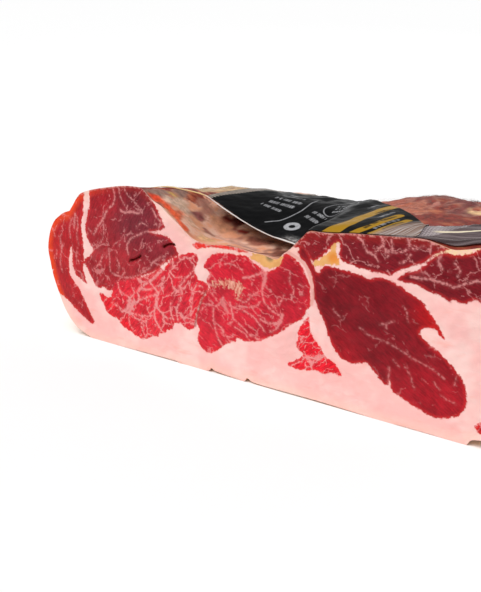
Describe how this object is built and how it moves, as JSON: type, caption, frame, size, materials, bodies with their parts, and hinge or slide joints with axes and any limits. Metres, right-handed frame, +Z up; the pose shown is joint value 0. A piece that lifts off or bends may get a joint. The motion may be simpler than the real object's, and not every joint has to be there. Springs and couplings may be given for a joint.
{
  "type": "half cured ham",
  "caption": "Boneless dry-cured ham half with its cut face bare, resting on its fat side, with an opened clear vacuum bag over the rear and a dark adhesive label on it.",
  "frame": {"origin": "on the surface the ham rests on, under the middle of the object", "axes": "+X along the cut face, to the right of someone facing it; +Y from the cut face to the rounded end; +Z up"},
  "size_m": [0.2851, 0.1916, 0.094],
  "materials": {
    "ham": "satin",
    "vacuum_bag": "gloss",
    "front_label": "gloss"
  },
  "bodies": {
    "root": {"ham": "ham", "vacuum_bag": "vacuum_bag", "front_label": "front_label"}
  },
  "joints": []
}
